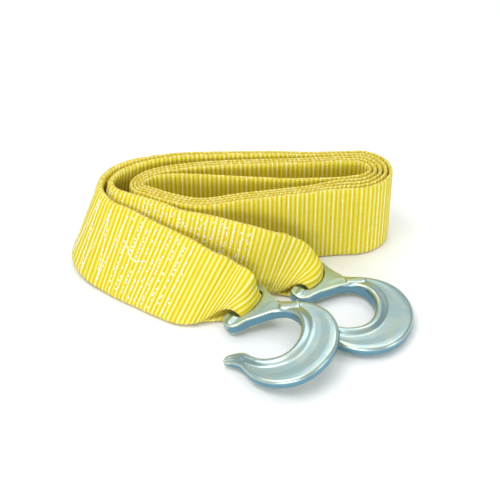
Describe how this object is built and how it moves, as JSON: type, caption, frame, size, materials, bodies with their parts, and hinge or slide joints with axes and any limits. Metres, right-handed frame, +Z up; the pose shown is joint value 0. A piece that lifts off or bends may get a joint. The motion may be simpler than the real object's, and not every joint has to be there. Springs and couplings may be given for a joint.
{
  "type": "tow strap",
  "caption": "Webbing tow strap wound on edge into a long flat hank, with a forged steel slip hook looped into each sewn end.",
  "frame": {"origin": "middle of the footprint of the whole part, on the floor it lies on", "axes": "+X along the long side of the hank towards its plain right-hand turn, +Y towards the back of the hank, away from the hooks, +Z up, across the width of the webbing"},
  "size_m": [0.2026, 0.1608, 0.0528],
  "materials": {
    "webbing": "woven polyester with crosswise ribs",
    "zinc_steel": "bright zinc over a forged surface"
  },
  "bodies": {
    "strap": {"strap": "webbing"},
    "hook_near": {"hook_near": "zinc_steel"},
    "hook_far": {"hook_far": "zinc_steel"}
  },
  "joints": [
    {"name": "near_hook_swing", "type": "hinge", "parent": "strap", "child": "hook_near", "pos_m": [0.00543, -0.01455, 0.00815], "axis": [-0.7757, -0.5966, -0.2058], "range_deg": [0, 60]},
    {"name": "far_hook_swing", "type": "hinge", "parent": "strap", "child": "hook_far", "pos_m": [0.04243, 0.00936, 0.00685], "axis": [0.6561, 0.7547, 0], "range_deg": [0, 60]}
  ]
}
